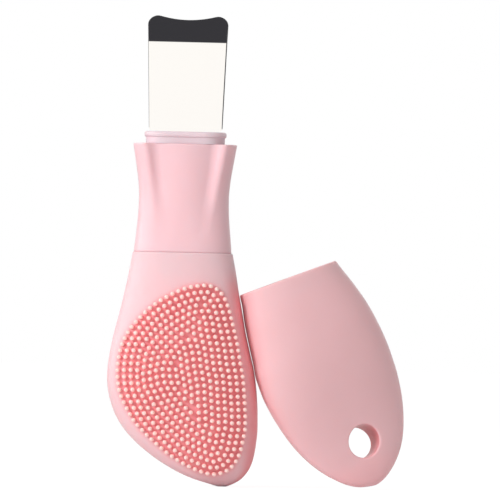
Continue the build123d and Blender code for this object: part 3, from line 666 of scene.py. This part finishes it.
def build_blade():
    stations = [0.0, 0.08, 0.25, 0.5, 0.8, 1.1, *np.arange(2.0, 29.0, 1.2),
                *np.arange(29.2, 32.6, 0.16), *np.arange(32.9, BLADE_LEN - 4.3, 0.45)]
    stations += [BLADE_LEN - TOP_CORNER_R + TOP_CORNER_R * math.sin(t)
                 for t in np.linspace(0, math.pi / 2, 14)]
    blade = new_mesh("spatula_blade", to_metres([blade_row(s) for s in stations]),
                     band_faces(len(stations), BLADE_COLS + 1, closed=False),
                     blade_steel, replaces=["blade"])
    apply_modifier(blade, "SOLIDIFY", thickness=BLADE_T * MM, offset=0.0)
    mesh = blade.data
    weight_long_sides(mesh)
    apply_modifier(blade, "BEVEL", width=0.00038, segments=1, limit_method="WEIGHT",
                   use_clamp_overlap=False)
    # the blade's side faces take the near-black painted edge shade
    mesh.materials.append(blade_edge_shade)
    for face in mesh.polygons:
        face.material_index = 1 if abs(face.normal.x) > 0.3 and face.center.z > 0.1252 else 0
    mesh.set_sharp_from_angle(angle=math.radians(35))


def build_tang():
    """Flat bar reaching down from the blade's foot into the handle."""
    verts = [(x * MM, y * MM, z * MM)
             for z in (98.0, BLADE_FOOT_Z + 0.3) for y in (-0.36, 0.36) for x in (-6.5, 6.5)]
    faces = [(0, 1, 5, 4), (2, 6, 7, 3), (0, 4, 6, 2), (1, 3, 7, 5), (0, 2, 3, 1), (4, 5, 7, 6)]
    new_mesh("blade_tang", verts, faces, blade_steel, shade=False)


build_blade()
build_tang()

# ------------------------------------------------------------------- handle halves
RIM_Z = 119.5
RIM_R = 0.5             # rounding of the top rim
FOOT_R = 0.35           # rounding at the seam with the head
SIDE_R = 0.14           # rounding along the joint between the halves
HALF_GAP = 0.03         # from the middle plane to each half
OVAL_POWER = 2.35
HOLLOW_POWER = 2.6
# (height z, half width)
handle_width = curve([
    (SEAM_Z, 17.15), (86, 16.7), (91, 16.2), (96, 15.85), (101, 15.75), (106, 16.1),
    (111, 16.8), (115, 17.45), (118, 17.95), (RIM_Z, 18.2)])
# (height z, depth of either half)
handle_depth = curve([
    (SEAM_Z, 11.2), (86, 10.9), (91, 10.6), (96, 10.45), (101, 10.5), (106, 10.8),
    (111, 11.3), (115, 11.8), (118, 12.2), (RIM_Z, 12.5)])
# scoop in the front: (height z, half width), (height z, depth at its sides),
# (height z, rise of its middle)
SCOOP_Z = 84
scoop_width = curve([(SCOOP_Z, 7.0), (90, 7.6), (96, 8.1), (101, 8.5), (106, 9.0), (112, 9.7),
                     (122, 10.7)])
scoop_floor = curve([(SCOOP_Z, 11.2), (90, 10.4), (94, 9.4), (98, 8.2), (102, 7.3), (106, 6.8),
                     (112, 6.5), (122, 6.5)])
scoop_crown = curve([(SCOOP_Z, 2.0), (92, 2.2), (101, 2.4), (112, 2.5), (122, 2.5)])
# round holes through the back: (x, z, radius)
BACK_HOLES = [(0, 103.5, 4.15), (0, 91.5, 3.55), (-4.6, 97.6, 0.85), (0, 97.6, 0.85),
              (4.6, 97.6, 0.85), (-4.0, 84.6, 1.3), (4.0, 84.6, 1.3)]


def scooped(x, z, outer):
    """Front depth of the handle at x: the plain oval, or the scoop where that cuts in."""
    if z < SCOOP_Z:
        return outer
    width, floor_depth = scoop_width(z), scoop_floor(z)
    low = smooth((104.0 - z) / 14.0)
    scoop = smooth_max(floor_depth + scoop_crown(z) * (1 - (x / width) ** 2),
                       floor_depth + (abs(x) - width) * 0.68, 2.0 + 1.0 * low)
    blend = (1.9 + 0.8 * low) * smooth((z - SCOOP_Z) / 5.0) + 0.02
    return smooth_min(outer, scoop, blend)


def cylinder_tool(x, z, radius):
    """Cylinder along Y through the back wall."""
    mesh = bpy.data.meshes.new("cut")
    bm = bmesh.new()
    place = Matrix.Translation((x * MM, 0.0112, z * MM)) @ Matrix.Rotation(math.pi / 2, 4, "X")
    bmesh.ops.create_cone(bm, cap_ends=True, segments=72, radius1=radius * MM,
                          radius2=radius * MM, depth=0.012, matrix=place)
    bm.to_mesh(mesh)
    bm.free()
    tool = bpy.data.objects.new("cut", mesh)
    scene.collection.objects.link(tool)
    return tool


def handle_half(name, front, holes=()):
    side = -1 if front else 1
    near_joint = [0.0, 0.0006, 0.0018, 0.004, 0.007]
    angles = near_joint + list(np.linspace(0.012, math.pi - 0.012, 300)) \
        + [math.pi - t for t in reversed(near_joint)]

    def outer_row(z):
        width, depth = handle_width(z), handle_depth(z)
        inset = rounding(RIM_R, z - RIM_Z + RIM_R) + rounding(FOOT_R, FOOT_R - (z - SEAM_Z))
        row = []
        for t in angles:
            x = width * signed_power(math.cos(t), 2 / OVAL_POWER)
            y = depth * abs(math.sin(t)) ** (2 / OVAL_POWER)
            if front:
                y = min(y, scooped(x, z, y))
            x -= math.copysign(rounding(SIDE_R, SIDE_R - y), x)
            reach = math.hypot(x / width, y / depth) + 1e-9
            x -= inset * (x / width) / reach
            y -= inset * (y / depth) / reach
            row.append((x, side * (max(y, 0.0) + HALF_GAP), z))
        return row

    def inner_row(z, width, depth, power=HOLLOW_POWER):
        return [(width * signed_power(math.cos(t), 2 / power),
                 side * (depth * abs(math.sin(t)) ** (2 / power) + HALF_GAP), z)
                for t in angles]

    stations = [SEAM_Z, 81.56, 81.68, 81.85, *np.arange(82.2, RIM_Z - 0.6, 0.42)]
    stations += [RIM_Z - RIM_R + RIM_R * math.sin(t) for t in np.linspace(0.0, math.pi / 2, 7)]
    rows = [outer_row(z) for z in stations]
    # over the rim, down the collar's hole and back down inside
    rows.append(inner_row(RIM_Z, 12.4, 6.5))
    rows.append(inner_row(115.8, 12.4, 5.9))
    rows.append(inner_row(112.0, handle_width(112) - 3.8, 4.9))
    for z in (106.0, 101.0, 96.0, 91.0, 86.0):
        front_depth = 4.9 if z > 98 else 6.2
        rows.append(inner_row(z, handle_width(z) - 2.6,
                              front_depth if front else handle_depth(z) - 2.2))
    rows.append(inner_row(SEAM_Z, handle_width(82) - 2.6, handle_depth(82) - 2.6, OVAL_POWER))

    count = len(angles)
    faces = band_faces(len(rows), count, closed=False, wrap=True)
    for column in (0, count - 1):       # close both side edges
        faces.append(tuple(r * count + column for r in range(len(rows))))
    ob = new_mesh(name, to_metres(rows), faces, case)
    face_outward(ob.data)
    for hole in holes:
        cut(ob, cylinder_tool(*hole))
    ob.data.set_sharp_from_angle(angle=math.radians(38))
    return ob


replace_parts(handle_half("handle_front", True), "front_case")
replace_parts(handle_half("handle_back", False, BACK_HOLES), "back_case")

# ------------------------------------------------------------------------ the cap
# The cap is drawn upright, mouth at v = 0 and closed end at v = CAP_LEN, then put in place.
CAP_LEN, CAP_T = 78.78, 1.6
# (height v, x of the left outline)
cap_left = curve([
    (0, -18.09), (3.5, -19.26), (10, -21.6), (18.5, -24.05), (24, -25.02), (30, -25.78),
    (36, -26.1), (42, -26.03), (50, -25.24), (56, -23.98), (61, -22.36), (65, -20.64),
    (69, -18.3), (72.5, -15.4), (75.2, -12.4), (77, -9.75), (77.9, -8.0), (78.35, -6.75),
    (78.62, -5.7), (CAP_LEN, -4.75)])
# (height v, x of the right outline)
cap_right = curve([
    (0, 18.14), (3.5, 18.65), (10, 20.1), (18.5, 21.48), (24, 22.25), (30, 23.27),
    (36, 23.38), (42, 22.8), (50, 21.19), (56, 19.35), (61, 17.17), (65, 14.89),
    (69, 11.96), (72.5, 8.68), (75.2, 5.55), (77, 2.6), (77.8, 0.6), (78.25, -1.15),
    (78.58, -2.8), (CAP_LEN, -4.3)])
# (height v, half depth)
cap_depth = curve([
    (0, 12.4), (10, 12.9), (20, 13.0), (30, 12.4), (40, 10.9), (50, 8.6), (60, 6.1),
    (63, 5.5), (67.4, 4.7), (73.2, 3.5), (75.6, 2.8), (77.2, 2.1), (78.1, 1.45),
    (78.55, 0.9), (CAP_LEN, 0.35)])
MOUTH_R, MOUTH_INNER_R = 0.45, 0.35
HOLE_X, HOLE_V, HOLE_R = -4.2, 62.7, 5.8        # hanging hole
HOLE_FILLET = 0.7
HOLE_RIM_R = HOLE_R + HOLE_FILLET
CAP_PLACE = (Matrix.Translation((0.037, 0.00338072, 0.0735))
             @ Matrix.Rotation(math.radians(180 - 21.3), 4, "Y")
             @ Matrix.Rotation(math.radians(-20.0), 4, "Z"))


def cap_solid(inset_at, stations, count):
    rings = []
    for v in stations:
        inset = inset_at(v)
        depth = cap_depth(v) - inset
        rings.append(ring(v, cap_left(v) + inset, cap_right(v) - inset, depth, depth,
                          OVAL_POWER, count))
    return solid(rings)


def cap_y(x, v):
    return oval_depth(x, cap_left(v), cap_right(v), cap_depth(v), OVAL_POWER)


def hole_post(stations, count=96):
    """Post along Y through the hanging hole, from (side, radius, seat, lift) stations.

    Each ring lies lift outside the cap's surface at radius seat, or lift from the middle
    plane where seat is None.
    """
    rings = []
    for side, radius, seat, lift in stations:
        points = []
        for i in range(count):
            angle = 2 * math.pi * i / count
            across, up = math.cos(angle), math.sin(angle)
            surface = 0.0 if seat is None else cap_y(HOLE_X + seat * across,
                                                     HOLE_V + seat * up)
            points.append((HOLE_X + radius * across, side * (surface + lift),
                           HOLE_V + radius * up))
        rings.append(points)
    return solid(rings)


def build_cap():
    outer_stations = [
        0.0, 0.02, 0.07, 0.15, 0.28, 0.45, *np.arange(1.0, 70.0, 0.6),
        *np.arange(70.0, 76.0, 0.35), 76.2, 76.6, 77.0, 77.3, 77.6, 77.85, 78.05, 78.2,
        78.33, 78.45, 78.55, 78.63, 78.7, 78.75, CAP_LEN]
    inner_stations = [-2.0, 0.0, 0.05, 0.15, 0.35, *np.arange(1.5, 67.0, 1.5), 68.5]
    shell = cap_solid(lambda v: rounding(MOUTH_R, MOUTH_R - v), outer_stations, 256)
    hollow = cap_solid(
        lambda v: CAP_T - rounding(MOUTH_INNER_R, MOUTH_INNER_R - max(v, 0.0)),
        inner_stations, 128)
    # leave a wall around the hanging hole
    cut(hollow, hole_post([(side, HOLE_R + 1.5, None, 20.0) for side in (-1, 1)]))
    cut(shell, hollow)
    # the hole itself, its rims rounded over
    flare = [(HOLE_RIM_R + 1.5, None, 20.0), (HOLE_RIM_R + 0.25, HOLE_RIM_R + 0.25, 0.03)]
    flare += [(HOLE_RIM_R - HOLE_FILLET * math.sin(t), HOLE_RIM_R,
               -HOLE_FILLET * (1 - math.cos(t))) for t in np.linspace(0.0, math.pi / 2, 7)]
    cut(shell, hole_post([(-1, *station) for station in flare]
                         + [(1, *station) for station in reversed(flare)]))
    mesh = shell.data
    mesh.transform(CAP_PLACE)
    mesh.materials.clear()
    mesh.materials.append(cap_pink)
    mesh.polygons.foreach_set("use_smooth", [True] * len(mesh.polygons))
    mesh.polygons.foreach_set("material_index", [0] * len(mesh.polygons))
    mesh.set_sharp_from_angle(angle=math.radians(40))
    # the hanging hole's wall takes painted shade
    upright = CAP_PLACE.inverted()
    painted_shade = []
    for vertex in mesh.vertices:
        p = upright @ vertex.co * 1000
        in_hole = math.hypot(p.x - HOLE_X, p.z - HOLE_V) < HOLE_RIM_R + 0.05
        below = abs(cap_y(p.x, p.z)) - abs(p.y)
        painted_shade.append(smooth((below - 0.25) / 0.5) if in_hole else 0.0)
    set_painted_shade(mesh, painted_shade)
    shell.name = "travel_cap"
    mesh.name = "travel_cap"
    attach(shell, "cap")
    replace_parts(shell, "cap_shell")


build_cap()


# -------------------------------------------------------------------------- floor
def floor_material():
    """White floor; the camera sees an even glow plus a weak diffuse that takes the shadow."""
    m = Surface("floor_white")
    m.put(color=m.ramp(m.noise(3.0), (0.90, 0.90, 0.90), (0.92, 0.92, 0.92)), rough=0.9)
    rays = m.node("ShaderNodeLightPath")
    glow = m.node("ShaderNodeEmission")
    m.feed(glow.inputs["Color"], (1.0, 1.0, 1.0))
    m.feed(glow.inputs["Strength"], 0.86)
    pale = m.node("ShaderNodeBsdfDiffuse")
    m.link(m.ramp(m.noise(3.0), (0.30, 0.29, 0.29), (0.31, 0.30, 0.30)), pale.inputs["Color"])
    both = m.node("ShaderNodeAddShader")
    m.link(glow.outputs[0], both.inputs[0])
    m.link(pale.outputs[0], both.inputs[1])
    m.link(m.mix_shader(rays.outputs["Is Camera Ray"], m.shader.outputs[0], both.outputs[0]),
           m.out.inputs[0])
    return m.mat


def build_floor():
    mesh = bpy.data.meshes.new("floor")
    bm = bmesh.new()
    bmesh.ops.create_circle(bm, cap_ends=True, segments=96, radius=3.0)
    bm.to_mesh(mesh)
    bm.free()
    floor = bpy.data.objects.new("floor", mesh)
    scene.collection.objects.link(floor)
    floor.location = (0.02, 0, -0.0002)
    mesh.materials.append(floor_material())


build_floor()


# -------------------------------------------------------------------------- world
def build_world():
    world = bpy.data.worlds.new("studio")
    scene.world = world
    world.use_nodes = True
    n = Nodes(world.node_tree)
    out = n.node("ShaderNodeOutputWorld")
    rays = n.node("ShaderNodeLightPath")
    direction = n.node("ShaderNodeSeparateXYZ")
    n.link(n.node("ShaderNodeTexCoord").outputs["Generated"], direction.inputs[0])

    def fade(axis, span, to):
        return n.map_range(direction.outputs[axis], to, span, kind="SMOOTHSTEP")

    def combine(operation, first, second):
        node = n.node("ShaderNodeMath", operation=operation)
        n.link(first, node.inputs[0])
        n.link(second, node.inputs[1])
        return node.outputs[0]

    def background(strength, color=(1, 1, 1)):
        node = n.node("ShaderNodeBackground")
        n.feed(node.inputs[0], color)
        n.feed(node.inputs[1], strength)
        return node.outputs[0]

    # reflections: white ahead, softer to both sides, a bright strip on the far left,
    # dark overhead
    side = combine("MULTIPLY", fade("X", span=(-0.1, 0.85), to=(1.0, 0.80)),
                   fade("X", span=(-0.52, -0.30), to=(0.66, 1.0)))
    side = combine("ADD", side, fade("X", span=(-0.97, -0.72), to=(2.9, 0.0)))
    overhead = fade("Z", span=(0.55, 0.75), to=(0.0, 1.0))
    reflected = n.mix_shader(overhead, background(side),
                             background(1.0, color=(0.039, 0.039, 0.046)))
    # everything else is lit by a warm fill, stronger from the left
    fill = background(fade("X", span=(-0.9, 0.9), to=(0.58, 0.43)), color=(1.0, 0.98, 0.96))
    seen = background(1.0)
    lit = n.mix_shader(rays.outputs["Is Glossy Ray"], fill, reflected)
    n.link(n.mix_shader(rays.outputs["Is Camera Ray"], lit, seen), out.inputs[0])


build_world()


# -------------------------------------------------------------- lights and camera
def area(name, location, size, power):
    """Disk light aimed at the middle of the product, hidden from reflections."""
    light = bpy.data.lights.new(name, "AREA")
    light.shape = "DISK"
    light.size = size
    light.energy = power
    light.spread = math.pi
    ob = bpy.data.objects.new(name, light)
    scene.collection.objects.link(ob)
    ob.location = location
    aim = Vector((0.02, 0, 0.08)) - Vector(location)
    ob.rotation_mode = "QUATERNION"
    ob.rotation_quaternion = aim.to_track_quat("-Z", "Y")
    ob.visible_glossy = False


area("key", location=(-0.80, -0.80, 0.50), size=0.30, power=7.1)
area("top", location=(-0.2, -0.3, 1.1), size=0.7, power=1.75)

CAMERA_DISTANCE = 3.0
VIEW_WIDTH = 0.175      # width seen at the product
CAMERA_ROLL = math.radians(1.4)


def build_camera():
    """Level camera in front of the product, rolled slightly."""
    camera = bpy.data.cameras.new("camera")
    camera.sensor_width = 36.0
    camera.lens = 36.0 * CAMERA_DISTANCE / VIEW_WIDTH
    camera.clip_start = 0.05
    camera.clip_end = 20.0
    ob = bpy.data.objects.new("camera", camera)
    scene.collection.objects.link(ob)
    c, s = math.cos(CAMERA_ROLL), math.sin(CAMERA_ROLL)
    ob.matrix_world = Matrix(((c, -s, 0, 0.02354), (0, 0, -1, -CAMERA_DISTANCE),
                              (s, c, 0, 0.08295), (0, 0, 0, 1)))
    scene.camera = ob


build_camera()
scene.view_settings.view_transform = "Standard"
